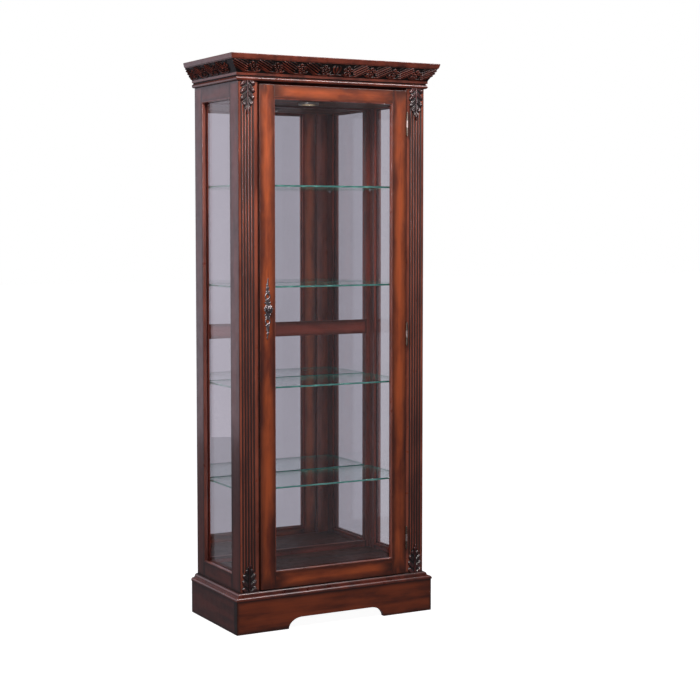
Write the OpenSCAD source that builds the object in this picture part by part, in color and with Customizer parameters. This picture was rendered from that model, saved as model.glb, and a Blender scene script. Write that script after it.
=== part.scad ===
// Curio cabinet: a tall glazed display case on a plinth, with one framed glass door,
// glazed sides, a mirror back in two panes, four glass shelves and a carved crown.
// Millimetres. +Z is up, the door faces -Y, and the origin is the centre of the footprint
// on the floor.

/* [Case] */
// Overall height, floor to the top of the crown
total_h = 1880; // [1700:10:2000]
// Width across the outer faces of the side frames
case_w = 695; // [620:5:800]
// Depth from the back to the face of the pilasters
case_d = 350; // [320:5:420]
// Thickness of the side frames
side_t = 24; // [22:1:30]
// Thickness of the pilasters
pilaster_t = 20; // [18:1:26]
// Width of each pilaster
pilaster_w = 69; // [60:1:80]
// Thickness of the floor and ceiling panels
panel_t = 18; // [12:1:22]
// Height of the upper face of the floor panel
floor_top = 168; // [160:1:180]
// Height of the lower face of the ceiling panel
ceiling_z = 1750; // [1735:1:1755]

/* [Plinth] */
// Height of the top of the plinth boards
plinth_top = 112; // [90:1:140]
// How far the plinth stands out from the case at the front and sides
plinth_out = 22; // [15:1:30]
// Thickness of the plinth boards
plinth_t = 18; // [15:1:22]
// Height of the moulding between plinth and case
base_h = 24; // [20:1:28]
// How far the base moulding stands out from the case
base_out = 24; // [20:1:32]
// Half width of the front arch at the floor
arch_half_w = 181; // [120:1:240]
// Height of the flat top of the front arch
arch_h = 38; // [25:1:60]
// Width of each rounded end of the arch
arch_end = 50; // [30:1:70]
// Thickness of the floor glides
glide_t = 2.5; // [2:0.5:5]

/* [Crown] */
// How far the crown stands out from the case at the front and sides
crown_out = 41; // [30:1:60]
// Thickness of the top board
cap_t = 18; // [15:1:24]
// Height of the carved sloping frieze
frieze_h = 40; // [30:1:60]
// Height of the beaded moulding under the frieze
bead_h = 25; // [22:1:32]

/* [Door] */
// Gap between the door and each pilaster
door_gap = 3.75; // [3:0.25:5]
// How far the door stands proud of the pilasters
door_proud = 7; // [4:1:10]
// Thickness of the door frame
door_t = 22; // [20:1:26]
// Height of the door's lower edge
door_z0 = 139; // [138:1:145]
// Gap between the top of the door and the crown
door_top_gap = 9; // [5:1:12]
// Width of the door stiles
door_stile_w = 52.5; // [45:0.5:65]
// Height of the door's top rail
door_top_rail_h = 44; // [40:1:60]
// Height of the door's bottom rail
door_bottom_rail_h = 55; // [45:1:75]
// Depth from the face of the door to its glass
door_recess = 13; // [8:1:14]

/* [Frames and glass] */
// Width of the front stile of each side frame
side_front_stile_w = 65; // [55:1:75]
// Width of the back stile of each side frame
side_back_stile_w = 58; // [50:1:70]
// Height of the side frames' top rails
side_top_rail_h = 50; // [45:1:70]
// Height of the side frames' bottom rails
side_bottom_rail_h = 51; // [45:1:70]
// Depth from the outer face of a side frame to its glass
side_recess = 15; // [10:1:16]
// Thickness of the window glass and of the mirrors
glass_t = 4; // [3:1:5]
// How far the glass runs into the frame behind the visible edge
rebate = 8; // [6:1:10]

/* [Back] */
// Thickness of the back frame
back_t = 20; // [18:1:24]
// Half width of the visible mirror
mirror_half_w = 310; // [290:1:312]
// Lower and upper edge of the visible lower mirror
lower_mirror_z = [190, 946];
// Lower and upper edge of the visible upper mirror
upper_mirror_z = [996, 1744];
// Depth from the face of the back frame to the mirrors
mirror_recess = 8; // [6:1:10]

/* [Shelves] */
// Heights of the upper faces of the glass shelves
shelf_z = [467, 802, 1135, 1467];
// Thickness of the glass shelves
shelf_t = 6; // [5:1:8]
// Gap between a shelf and the side frames
shelf_side_gap = 3; // [2:0.5:4]
// Radius of the shelf pins
pin_r = 2.5; // [2:0.5:3]

/* [Hinges] */
// Heights of the middles of the hinges
hinge_z = [263, 965, 1676];
// Height of a hinge
hinge_h = 72; // [60:1:90]
// Radius of a hinge barrel
barrel_r = 3.6; // [3:0.1:4]
// Radius of a hinge pin
hinge_pin_r = 1.5; // [1.2:0.1:1.8]
// Thickness of a hinge leaf
leaf_t = 1.2; // [1:0.1:1.4]

/* [Handle] */
// Height of the middle of the handle
handle_z = 1063; // [950:1:1150]
// Length of the handle's backplate
handle_len = 204; // [160:2:240]
// Radius of the knob
knob_r = 15.5; // [13:0.5:17]
// How far the knob stands out from the backplate
knob_out = 24; // [18:1:24]

/* [Carving and flutes] */
// Number of flutes on each pilaster
flute_count = 5; // [3:1:5]
// Distance between the flutes
flute_pitch = 10.25; // [9:0.25:10.5]
// Distance of the middle flute from the cabinet's middle
flute_x = 315; // [310:1:316]
// Length of each carved leaf
leaf_len = 97; // [80:1:110]
// Half width of each carved leaf
leaf_half_w = 26; // [20:1:28]

/* [Lamp and catch] */
// Radius of the ceiling lamp
lamp_r = 35; // [28:1:40]
// Height of the ceiling lamp
lamp_h = 8; // [7:1:16]
// Distance of the magnetic catch from the cabinet's middle
catch_x = 249; // [240:1:255]

/* [Hidden] */
$fn = 48;
eps = 1;                                    // overshoot of cutting tools

// planes of the case
half_w = case_w / 2;
total_d = case_d + crown_out;
y_back = total_d / 2;
y_face = y_back - case_d;                   // face of the pilasters
base_top = plinth_top + base_h;             // the case stands here
case_top = total_h - cap_t - frieze_h - bead_h;
side_in = half_w - side_t;                  // inner face of a side frame
pilaster_in = half_w - pilaster_w;          // door-side edge of a pilaster
back_face = y_back - back_t;                // inner face of the back frame
block_arm = 42;                             // length of a plinth corner block's sides
mould_in = 20;                              // how far the mouldings run under the case
joint_gap = 0.1;                            // open line where two strips of one set meet

// the rails that the door closes against
stop_gap = 1;
door_y0 = y_face - door_proud;
door_y1 = door_y0 + door_t;
stop_y = door_y1 + stop_gap;
stop_t = 18;
stop_back = stop_y + stop_t;

// door
door_half_w = pilaster_in - door_gap;
door_sight_x = door_half_w - door_stile_w;
door_z1 = case_top - door_top_gap;
door_sight_z = [door_z0 + door_bottom_rail_h, door_z1 - door_top_rail_h];
door_glass_y = door_y0 + door_recess;

// side glazing, right-hand side
side_sight_y = [y_face + side_front_stile_w, y_back - side_back_stile_w];
side_sight_z = [base_top + side_bottom_rail_h, case_top - side_top_rail_h];
side_glass_x = half_w - side_recess;        // outer face of the glass

// crown
bead_r = 6.5;                               // radius of the crown's round bead
bead_out = 10;
groove_out = 5;
fillet_out = 9.5;
groove_h = 4;
fillet_h = bead_h - 2 * bead_r - groove_h;
frieze_out = 34;
frieze_z = case_top + bead_h;
cap_z = frieze_z + frieze_h;
cap_lip_out = 35;
cap_lip_h = 2.5;
cap_low_out = 37.5;
frieze_back = 24;                           // thickness of the frieze moulding, level
frieze_foot_h = 8;

// shelves
shelf_half_w = side_in - shelf_side_gap;
shelf_y = [stop_back + 9.5, back_face - 4];
pin_y = [shelf_y[0] + 6, side_sight_y[1] + rebate + 12.5];
pin_depth = 10;                             // depth of a pin's hole in the stile
pad_len = 10.5;
pad_t = 2;
pad_gap = 0.3;                              // between a pad and the shelf on it

// hinges
hinge_x = (pilaster_in + door_half_w) / 2;
barrel_gap = 0.3;
hinge_y = door_y0 - barrel_r - barrel_gap;
leaf_depth = 20;
knuckle_h = hinge_h / 3;
knuckle_gap = 0.4;
pin_clearance = 0.05;
finial_r = 2.4;
screw_r = 1.5;
screw_head_r = 3;
screw_len = 12;
screw_dz = [-24, 0, 24];
frame_screw_y = y_face + 7;
door_screw_y = door_y0 + 11;

// handle
handle_x = -(door_sight_x + door_stile_w / 2);
plate_t = 2.5;
knob_screw_r = 2;
knob_screw_head_r = 4.5;
knob_screw_head_h = 2.5;
knob_thread = 12;                           // how far the screw runs into the knob

// catch
catch_half_w = 15;
catch_h = 14;
catch_plate_t = 1.2;
catch_gap = 0.3;
lamp_rim = 8;
lens_t = 4;
lamp_y = (stop_back + back_face) / 2;

// colours
wood = [0.42, 0.17, 0.10];
dark_wood = [0.30, 0.12, 0.08];
carved_wood = [0.22, 0.10, 0.08];
pale_board = [0.62, 0.50, 0.38];
clear_glass = [0.75, 0.85, 0.85, 0.35];
shelf_glass = [0.35, 0.70, 0.62, 0.6];
mirror_silver = [0.75, 0.76, 0.78];
old_brass = [0.66, 0.58, 0.42];
pewter = [0.35, 0.34, 0.34];

// ---- shared shapes ----

// a box given by its lowest and highest corner
module block(lo, hi) {
    translate(lo) cube(hi - lo);
}

// the right-hand side as drawn (s = 1) or its mirror image (s = -1)
module on_side(s) {
    if (s < 0) mirror([1, 0, 0]) children();
    else children();
}

// a moulding along the front: the child is its section, x out from the case and y up
module front_moulding(out) {
    reach = 2 * mould_in;
    intersection() {
        translate([-half_w - out, y_face, 0]) mirror([0, 1, 0]) rotate([90, 0, 90])
            linear_extrude(2 * (half_w + out)) children();
        translate([0, -joint_gap, 0]) linear_extrude(total_h) polygon([
            [-half_w - out, y_face - out], [half_w + out, y_face - out],
            [half_w - reach, y_face + reach], [-half_w + reach, y_face + reach]]);
    }
}

// the same moulding along the right-hand side, mitred to the front one
module side_moulding(out) {
    reach = 2 * mould_in;
    intersection() {
        translate([half_w, y_back, 0]) rotate([90, 0, 0])
            linear_extrude(case_d + out) children();
        linear_extrude(total_h) polygon([
            [half_w + out, y_face - out], [half_w + out, y_back],
            [half_w - reach, y_back], [half_w - reach, y_face + reach]]);
    }
}

// four strips round a pane in the XZ plane, each as wide as the rebate
module beads_xz(x, y, z) {
    z_low = z[0] + rebate;
    z_high = z[1] - rebate;
    block([x[0], y[0], z[0]], [x[1], y[1], z_low]);
    block([x[0], y[0], z_high], [x[1], y[1], z[1]]);
    for (x0 = [x[0], x[1] - rebate])
        block([x0, y[0], z_low + joint_gap], [x0 + rebate, y[1], z_high - joint_gap]);
}

// a countersunk screw along +X with its head's face at x = 0
module wood_screw() {
    rotate([0, 90, 0]) {
        cylinder(h = leaf_t, r1 = screw_head_r, r2 = screw_r);
        cylinder(h = leaf_t + screw_len, r = screw_r);
    }
}

// places the child at every screw of the hinges
module at_screws() {
    for (z = hinge_z, dz = screw_dz) translate([0, 0, z + dz]) children();
}

module frame_screws() {
    translate([pilaster_in - leaf_t, frame_screw_y, 0]) at_screws() wood_screw();
}

module door_screws() {
    translate([door_half_w + leaf_t, door_screw_y, 0]) at_screws() mirror([1, 0, 0]) wood_screw();
}

// ---- plinth ----

module arch_cutter() {
    flat = arch_half_w - arch_end;
    steps = 12;
    right = [for (i = [0 : steps]) let (a = 90 - 90 * i / steps)
        [flat + arch_end * cos(a), arch_h * sin(a)]];
    left = [for (i = [0 : steps]) let (a = 90 + 90 * i / steps)
        [-flat + arch_end * cos(a), arch_h * sin(a)]];
    translate([0, y_face - plinth_out - eps, 0]) mirror([0, 1, 0]) rotate([90, 0, 0])
        linear_extrude(plinth_t + 2 * eps)
            polygon(concat(
                [[arch_half_w, -eps], [-arch_half_w, -eps]],
                [for (i = [steps : -1 : 0]) left[i]],
                right));
}

module plinth_front() {
    x = half_w + plinth_out;
    y = y_face - plinth_out;
    color(wood) difference() {
        block([-x, y, glide_t], [x, y + plinth_t, plinth_top]);
        arch_cutter();
    }
}

module plinth_side(s) {
    x = half_w + plinth_out;
    color(wood) on_side(s)
        block([x - plinth_t, y_face - plinth_out + plinth_t, glide_t], [x, y_back, plinth_top]);
}

// the back board rises between the side mouldings to carry the back frame
module plinth_back() {
    x = half_w + plinth_out - plinth_t;
    tongue = half_w - mould_in;
    color(dark_wood) {
        block([-x, y_back - plinth_t, glide_t], [x, y_back, plinth_top]);
        block([-tongue, y_back - plinth_t, plinth_top - eps], [tongue, y_back, base_top]);
    }
}

// places the child at the inner corners of the plinth, its arms along -X and +Y or -Y
module at_plinth_corners() {
    x = half_w + plinth_out - plinth_t;
    for (s = [-1, 1]) on_side(s) {
        translate([x, y_face - plinth_out + plinth_t, 0]) children();
        translate([x, y_back - plinth_t, 0]) mirror([0, 1, 0]) children();
    }
}

module plinth_blocks() {
    color(pale_board) at_plinth_corners() translate([0, 0, glide_t])
        linear_extrude(plinth_top - glide_t) polygon([[0, 0], [-block_arm, 0], [0, block_arm]]);
}

module floor_glides() {
    glide_r = 9;
    inset = block_arm / 3;
    color("dimgray") at_plinth_corners() translate([-inset, inset, 0]) {
        cylinder(h = glide_t / 2, r1 = glide_r - glide_t / 2, r2 = glide_r);
        translate([0, 0, glide_t / 2]) cylinder(h = glide_t / 2, r = glide_r);
    }
}

// section: an ovolo over a quirk and a second, wider ovolo
module base_section() {
    top_r = 9;
    low_r = 7;
    low_h = 11;
    top_out = 11;
    quirk_out = 14;
    quirk_h = 2;
    translate([-mould_in, plinth_top]) {
        square([mould_in + top_out, base_h - top_r]);
        square([mould_in + top_out - top_r, base_h]);
        square([mould_in + quirk_out, low_h + quirk_h]);
        square([mould_in + base_out, low_h - low_r]);
        square([mould_in + base_out - low_r, low_h]);
    }
    translate([top_out - top_r, base_top - top_r]) circle(top_r);
    translate([base_out - low_r, plinth_top + low_h - low_r])
        intersection() {
            circle(low_r);
            square(low_r);
        }
}

module base_moulding() {
    color(wood) {
        front_moulding(base_out) base_section();
        for (s = [-1, 1]) on_side(s) side_moulding(base_out) base_section();
    }
}

// ---- case ----

module floor_panel() {
    color(dark_wood) block([-side_in, stop_back, floor_top - panel_t], [side_in, back_face, floor_top]);
}

module ceiling_panel() {
    color(dark_wood) block([-side_in, stop_back, ceiling_z], [side_in, back_face, ceiling_z + panel_t]);
}

// a rail behind the door, lapped behind both pilasters
module front_rail(z0, z1) {
    color(dark_wood) {
        block([-pilaster_in, stop_y, z0], [pilaster_in, stop_back, z1]);
        block([-side_in, y_face + pilaster_t, z0], [side_in, stop_back, z1]);
    }
}

module front_top_rail() { front_rail(ceiling_z, case_top); }

module front_bottom_rail() { front_rail(base_top, floor_top); }

// board with flutes; its outer edge is mitred to the side frame
module pilaster(s) {
    flute_r = 3.6;
    flute_rise = 0.8;                       // height of the flutes' centres above the face
    flute_ends = 62;                        // plain board above and below the flutes
    color(wood) on_side(s) difference() {
        translate([0, 0, base_top]) linear_extrude(case_top - base_top) polygon([
            [pilaster_in, y_face], [half_w, y_face],
            [side_in, y_face + pilaster_t], [pilaster_in, y_face + pilaster_t]]);
        for (i = [0 : flute_count - 1])
            translate([flute_x + (i - (flute_count - 1) / 2) * flute_pitch,
                       y_face - flute_rise, base_top + flute_ends])
                cylinder(h = case_top - base_top - 2 * flute_ends, r = flute_r);
        if (s > 0) frame_screws();
    }
}

// leaf with its root at z = 0 and its tip down, crowned across
module carved_leaf() {
    crown_r = 62;
    leaf_rise = 9;
    shoulder = 0.62 * leaf_len;
    notch = 0.86 * leaf_len;
    intersection() {
        rotate([90, 0, 0]) linear_extrude(leaf_rise) polygon([
            [-leaf_half_w, 0], [leaf_half_w, 0], [leaf_half_w, -shoulder],
            [leaf_half_w / 2, -notch], [0, -leaf_len],
            [-leaf_half_w / 2, -notch], [-leaf_half_w, -shoulder]]);
        translate([0, crown_r - leaf_rise, -leaf_len - eps])
            cylinder(h = leaf_len + 2 * eps, r = crown_r, $fn = 96);
    }
}

module carved_leaves() {
    color(carved_wood) for (s = [-1, 1]) on_side(s) translate([flute_x, y_face, 0]) {
        translate([0, 0, case_top]) carved_leaf();
        translate([0, 0, base_top]) mirror([0, 0, 1]) carved_leaf();
    }
}

// ---- side frames ----

// the space that glass and beads take in a side frame
module side_rebate() {
    block([side_in - eps, side_sight_y[0] - rebate, side_sight_z[0] - rebate],
          [side_glass_x, side_sight_y[1] + rebate, side_sight_z[1] + rebate]);
}

// holes for the shelf pins in the stile at this depth
module pin_holes(y) {
    for (z = shelf_z) translate([side_in - eps, y, pin_axis_z(z)])
        rotate([0, 90, 0]) cylinder(h = pin_depth + eps, r = pin_r);
}

function pin_axis_z(z) = z - shelf_t - pad_gap - pin_r;

module side_front_stile(s) {
    color(wood) on_side(s) difference() {
        translate([0, 0, base_top]) linear_extrude(case_top - base_top) polygon([
            [half_w, y_face], [half_w, side_sight_y[0]],
            [side_in, side_sight_y[0]], [side_in, y_face + pilaster_t]]);
        side_rebate();
        pin_holes(pin_y[0]);
    }
}

module side_back_stile(s) {
    color(wood) on_side(s) difference() {
        block([side_in, side_sight_y[1], base_top], [half_w, y_back, case_top]);
        side_rebate();
        pin_holes(pin_y[1]);
    }
}

module side_rail(s, z0, z1) {
    color(wood) on_side(s) difference() {
        block([side_in, side_sight_y[0], z0], [half_w, side_sight_y[1], z1]);
        side_rebate();
    }
}

module side_glass(s) {
    color(clear_glass) on_side(s)
        block([side_glass_x - glass_t, side_sight_y[0] - rebate, side_sight_z[0] - rebate],
              [side_glass_x, side_sight_y[1] + rebate, side_sight_z[1] + rebate]);
}

// strips that hold the side panes in from the inside
module side_glass_beads() {
    depth = side_glass_x - glass_t - side_in;
    y = [side_sight_y[0] - rebate, side_sight_y[1] + rebate];
    z = [side_sight_z[0] - rebate, side_sight_z[1] + rebate];
    color(dark_wood) for (s = [-1, 1]) on_side(s) translate([side_in + depth, 0, 0])
        rotate([0, 0, 90]) beads_xz(y, [0, depth], z);
}

// ---- back ----

// a pane's space in the back frame, open to the rear
module back_rebate(z) {
    block([-mirror_half_w - rebate, back_face + mirror_recess, z[0] - rebate],
          [mirror_half_w + rebate, y_back + eps, z[1] + rebate]);
}

module back_stile(s) {
    color(dark_wood) on_side(s) difference() {
        block([mirror_half_w, back_face, base_top], [side_in, y_back, case_top]);
        back_rebate(lower_mirror_z);
        back_rebate(upper_mirror_z);
    }
}

module back_rail(z0, z1) {
    color(dark_wood) difference() {
        block([-mirror_half_w, back_face, z0], [mirror_half_w, y_back, z1]);
        back_rebate(lower_mirror_z);
        back_rebate(upper_mirror_z);
    }
}

// a sheet in the back frame, its front face y behind the frame's face
module back_sheet(z, y) {
    block([-mirror_half_w - rebate, back_face + y, z[0] - rebate],
          [mirror_half_w + rebate, back_face + y + glass_t, z[1] + rebate]);
}

module upper_mirror() { color(mirror_silver) back_sheet(upper_mirror_z, mirror_recess); }

module lower_mirror() { color(mirror_silver) back_sheet(lower_mirror_z, mirror_recess); }

module backing_boards() {
    color(pale_board) {
        back_sheet(upper_mirror_z, mirror_recess + glass_t);
        back_sheet(lower_mirror_z, mirror_recess + glass_t);
    }
}

// ---- crown ----

// section: a round bead, a groove and a fillet
module bead_section() {
    translate([-mould_in, case_top]) {
        square([mould_in + bead_out - bead_r, 2 * bead_r]);
        square([mould_in + groove_out, bead_h]);
        translate([0, bead_h - fillet_h]) square([mould_in + fillet_out, fillet_h]);
    }
    translate([bead_out - bead_r, case_top + bead_r]) circle(bead_r);
}

module crown_bead() {
    color(wood) {
        front_moulding(bead_out) bead_section();
        for (s = [-1, 1]) on_side(s) side_moulding(bead_out) bead_section();
    }
}

// section: a sloping face on a foot that rests on the bead
module frieze_section() {
    polygon([
        [-mould_in, frieze_z], [fillet_out, frieze_z], [frieze_out, cap_z],
        [frieze_out - frieze_back, cap_z], [fillet_out - mould_in, frieze_z + frieze_foot_h],
        [-mould_in, frieze_z + frieze_foot_h]]);
}

module crown_frieze() {
    color(carved_wood) {
        front_moulding(frieze_out) frieze_section();
        for (s = [-1, 1]) on_side(s) side_moulding(frieze_out) frieze_section();
    }
}

// closes the back of the crown between the side mouldings
module crown_back_rail() {
    foot = half_w - mould_in;
    knee = half_w + fillet_out - mould_in;
    head = half_w + frieze_out - frieze_back;
    knee_z = frieze_z + frieze_foot_h;
    color(dark_wood) translate([0, y_back, 0]) rotate([90, 0, 0]) linear_extrude(back_t) polygon([
        [-foot, case_top], [foot, case_top], [foot, knee_z], [knee, knee_z], [head, cap_z],
        [-head, cap_z], [-knee, knee_z], [-foot, knee_z]]);
}

// outer edge of the top board: a lip, then a fascia that leans out
function cap_edge(side) = [
    [side * cap_lip_out, cap_z], [side * cap_lip_out, cap_z + cap_lip_h],
    [side * cap_low_out, cap_z + cap_lip_h], [side * crown_out, total_h - 3],
    [side * crown_out, total_h]];

module crown_cap() {
    right = [for (p = cap_edge(1)) [p[0] + half_w, p[1]]];
    left = [for (i = [4 : -1 : 0]) [cap_edge(-1)[i][0] - half_w, cap_edge(-1)[i][1]]];
    front = [for (i = [4 : -1 : 0]) [-cap_edge(1)[i][0] + y_face, cap_edge(1)[i][1]]];
    color(wood) intersection() {
        translate([0, y_back, 0]) rotate([90, 0, 0]) linear_extrude(total_d)
            polygon(concat(right, left));
        translate([-half_w - crown_out, 0, 0]) rotate([90, 0, 90])
            linear_extrude(2 * (half_w + crown_out))
                polygon(concat([[y_back, cap_z], [y_back, total_h]], front));
    }
}

// ---- shelves ----

module shelf_pins() {
    color("silver") for (s = [-1, 1], y = pin_y, z = shelf_z) on_side(s) {
        pad_top = z - shelf_t - pad_gap;
        translate([side_in - pad_len, y, pin_axis_z(z)])
            rotate([0, 90, 0]) cylinder(h = pad_len + pin_depth, r = pin_r);
        block([side_in - pad_len, y - 2 * pin_r, pad_top - pad_t],
              [side_in, y + 2 * pin_r, pad_top]);
    }
}

module glass_shelf(i) {
    color(shelf_glass) block([-shelf_half_w, shelf_y[0], shelf_z[i] - shelf_t],
                             [shelf_half_w, shelf_y[1], shelf_z[i]]);
}

// ---- lamp and catch ----

module lamp_housing() {
    color("gray") translate([0, lamp_y, ceiling_z - lamp_h]) difference() {
        cylinder(h = lamp_h, r = lamp_r);
        translate([0, 0, -eps]) cylinder(h = lens_t + 2 + eps, r = lamp_r - lamp_rim);
    }
}

module lamp_lens() {
    color("white") translate([0, lamp_y, ceiling_z - lamp_h + 2])
        cylinder(h = lens_t, r = lamp_r - lamp_rim);
}

module magnetic_catch() {
    y0 = door_y1 + catch_plate_t + catch_gap;
    color("dimgray") block([-catch_x - catch_half_w, y0, ceiling_z - catch_h],
                           [-catch_x + catch_half_w, stop_back - 2, ceiling_z]);
}

module catch_plate() {
    z = ceiling_z - catch_h;
    plate_half_w = catch_half_w - 2;
    plate_half_h = 9;
    color("silver") block([-catch_x - plate_half_w, door_y1, z - plate_half_h + 1],
                          [-catch_x + plate_half_w, door_y1 + catch_plate_t, z + plate_half_h + 1]);
}

// ---- hinges ----

// the leaf on the right of the joint line, with knuckles; the door's leaf is its mirror image
module hinge_leaf(knuckles, bore_r) {
    gap = pilaster_in - hinge_x;
    difference() {
        union() {
            block([gap - leaf_t, barrel_r + barrel_gap, -hinge_h / 2],
                  [gap, barrel_r + barrel_gap + leaf_depth, hinge_h / 2]);
            for (k = knuckles) {
                z0 = k * knuckle_h - knuckle_h / 2 + knuckle_gap / 2;
                z1 = z0 + knuckle_h - knuckle_gap;
                translate([0, 0, z0]) cylinder(h = z1 - z0, r = barrel_r);
                block([gap - leaf_t, 0, z0], [gap, barrel_r + barrel_gap + eps, z1]);
            }
        }
        translate([0, 0, -hinge_h]) cylinder(h = 2 * hinge_h, r = bore_r);
    }
}

module at_hinges() {
    for (z = hinge_z) translate([hinge_x, hinge_y, z]) children();
}

module frame_hinge_leaves() {
    color(old_brass) difference() {
        at_hinges() hinge_leaf([-1, 1], hinge_pin_r);
        frame_screws();
    }
}

module door_hinge_leaves() {
    color(old_brass) difference() {
        at_hinges() mirror([1, 0, 0]) hinge_leaf([0], hinge_pin_r + pin_clearance);
        door_screws();
    }
}

// pins fixed in the frame's knuckles, with a ball at each end
module hinge_pins() {
    color(old_brass) at_hinges() {
        translate([0, 0, -hinge_h / 2]) cylinder(h = hinge_h, r = hinge_pin_r);
        for (m = [0, 1]) mirror([0, 0, m]) translate([0, 0, hinge_h / 2]) {
            cylinder(h = 1.4, r = barrel_r - 0.6);
            translate([0, 0, 2.6]) sphere(finial_r);
        }
    }
}

module frame_hinge_screws() { color(old_brass) frame_screws(); }

module door_hinge_screws() { color(old_brass) door_screws(); }

// ---- door ----

module door_rebate() {
    block([-door_sight_x - rebate, door_glass_y, door_sight_z[0] - rebate],
          [door_sight_x + rebate, door_y1 + eps, door_sight_z[1] + rebate]);
}

// hole through stile and backplate for the screw that holds the knob
module knob_screw_hole() {
    translate([handle_x, door_y1 + eps, handle_z]) rotate([90, 0, 0])
        cylinder(h = door_t + plate_t + 2 * eps, r = knob_screw_r);
}

module door_left_stile() {
    color(wood) difference() {
        block([-door_half_w, door_y0, door_z0], [-door_sight_x, door_y1, door_z1]);
        door_rebate();
        knob_screw_hole();
    }
}

module door_right_stile() {
    color(wood) difference() {
        block([door_sight_x, door_y0, door_z0], [door_half_w, door_y1, door_z1]);
        door_rebate();
        door_screws();
    }
}

module door_rail(z0, z1) {
    color(wood) difference() {
        block([-door_sight_x, door_y0, z0], [door_sight_x, door_y1, z1]);
        door_rebate();
    }
}

module door_glass() {
    color(clear_glass)
        block([-door_sight_x - rebate, door_glass_y, door_sight_z[0] - rebate],
              [door_sight_x + rebate, door_glass_y + glass_t, door_sight_z[1] + rebate]);
}

module door_glass_beads() {
    color(dark_wood)
        beads_xz([-door_sight_x - rebate, door_sight_x + rebate],
                 [door_glass_y + glass_t, door_y1],
                 [door_sight_z[0] - rebate, door_sight_z[1] + rebate]);
}

// ---- handle ----

// half of the backplate above its middle: a waist, a pierced ring, a bud and a pointed leaf
module half_plate() {
    ring_y = 0.2 * handle_len;
    bud_y = 0.29 * handle_len;
    tip_y = handle_len / 2;
    difference() {
        union() {
            translate([-4.5, 0]) square([9, bud_y]);
            translate([0, ring_y]) circle(10.5);
            translate([0, bud_y]) circle(7);
            polygon([[-5, bud_y], [5, bud_y], [3.4, bud_y + 22], [0, tip_y], [-3.4, bud_y + 22]]);
        }
        translate([0, ring_y]) circle(4.5);
    }
}

module handle_backplate() {
    color(pewter) difference() {
        translate([handle_x, door_y0, handle_z]) rotate([90, 0, 0]) linear_extrude(plate_t) {
            circle(13);
            half_plate();
            mirror([0, 1]) half_plate();
        }
        knob_screw_hole();
    }
}

// turned knob: a foot, a neck and a rounded head
module handle_knob() {
    head_r = knob_r / 2;
    foot_r = 10;
    foot_h = 2;
    neck_r = 5.5;
    color(pewter) translate([handle_x, door_y0 - plate_t, handle_z]) rotate([90, 0, 0]) difference() {
        rotate_extrude() {
            square([foot_r, foot_h]);
            square([neck_r, knob_out - head_r]);
            translate([0, knob_out - 2 * head_r]) square([knob_r - head_r, 2 * head_r]);
            translate([knob_r - head_r, knob_out - head_r]) circle(head_r);
        }
        translate([0, 0, -eps]) cylinder(h = knob_thread + eps, r = knob_screw_r);
    }
}

// machine screw from the inside of the door into the knob
module handle_screw() {
    color("silver") translate([handle_x, door_y1, handle_z]) rotate([90, 0, 0]) {
        cylinder(h = door_t + plate_t + knob_thread - 1, r = knob_screw_r);
        translate([0, 0, -knob_screw_head_h]) cylinder(h = knob_screw_head_h, r = knob_screw_head_r);
    }
}

plinth_front();
plinth_side(-1);  // plinth_left
plinth_side(1);  // plinth_right
plinth_back();
plinth_blocks();
floor_glides();
base_moulding();
floor_panel();
ceiling_panel();
front_top_rail();
front_bottom_rail();
pilaster(-1);  // left_pilaster
pilaster(1);  // right_pilaster
carved_leaves();
side_front_stile(-1);  // left_front_stile
side_back_stile(-1);  // left_back_stile
side_rail(-1, side_sight_z[1], case_top);  // left_top_rail
side_rail(-1, base_top, side_sight_z[0]);  // left_bottom_rail
side_front_stile(1);  // right_front_stile
side_back_stile(1);  // right_back_stile
side_rail(1, side_sight_z[1], case_top);  // right_top_rail
side_rail(1, base_top, side_sight_z[0]);  // right_bottom_rail
side_glass(-1);  // left_side_glass
side_glass(1);  // right_side_glass
side_glass_beads();
back_stile(-1);  // back_left_stile
back_stile(1);  // back_right_stile
back_rail(upper_mirror_z[1], case_top);  // back_top_rail
back_rail(lower_mirror_z[1], upper_mirror_z[0]);  // back_mid_rail
back_rail(base_top, lower_mirror_z[0]);  // back_bottom_rail
upper_mirror();
lower_mirror();
backing_boards();
crown_bead();
crown_frieze();
crown_back_rail();
crown_cap();
shelf_pins();
lamp_housing();
lamp_lens();
magnetic_catch();
frame_hinge_leaves();
hinge_pins();
frame_hinge_screws();
door_left_stile();
door_right_stile();
door_rail(door_sight_z[1], door_z1);  // door_top_rail
door_rail(door_z0, door_sight_z[0]);  // door_bottom_rail
door_glass();
door_glass_beads();
door_hinge_leaves();
door_hinge_screws();
handle_backplate();
handle_knob();
handle_screw();
catch_plate();
glass_shelf(0);  // glass_shelf_1
glass_shelf(1);  // glass_shelf_2
glass_shelf(2);  // glass_shelf_3
glass_shelf(3);  // glass_shelf_4
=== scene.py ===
"""Looks of the curio cabinet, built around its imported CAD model. Metres, front at -Y, +Z up."""

import math

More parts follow.
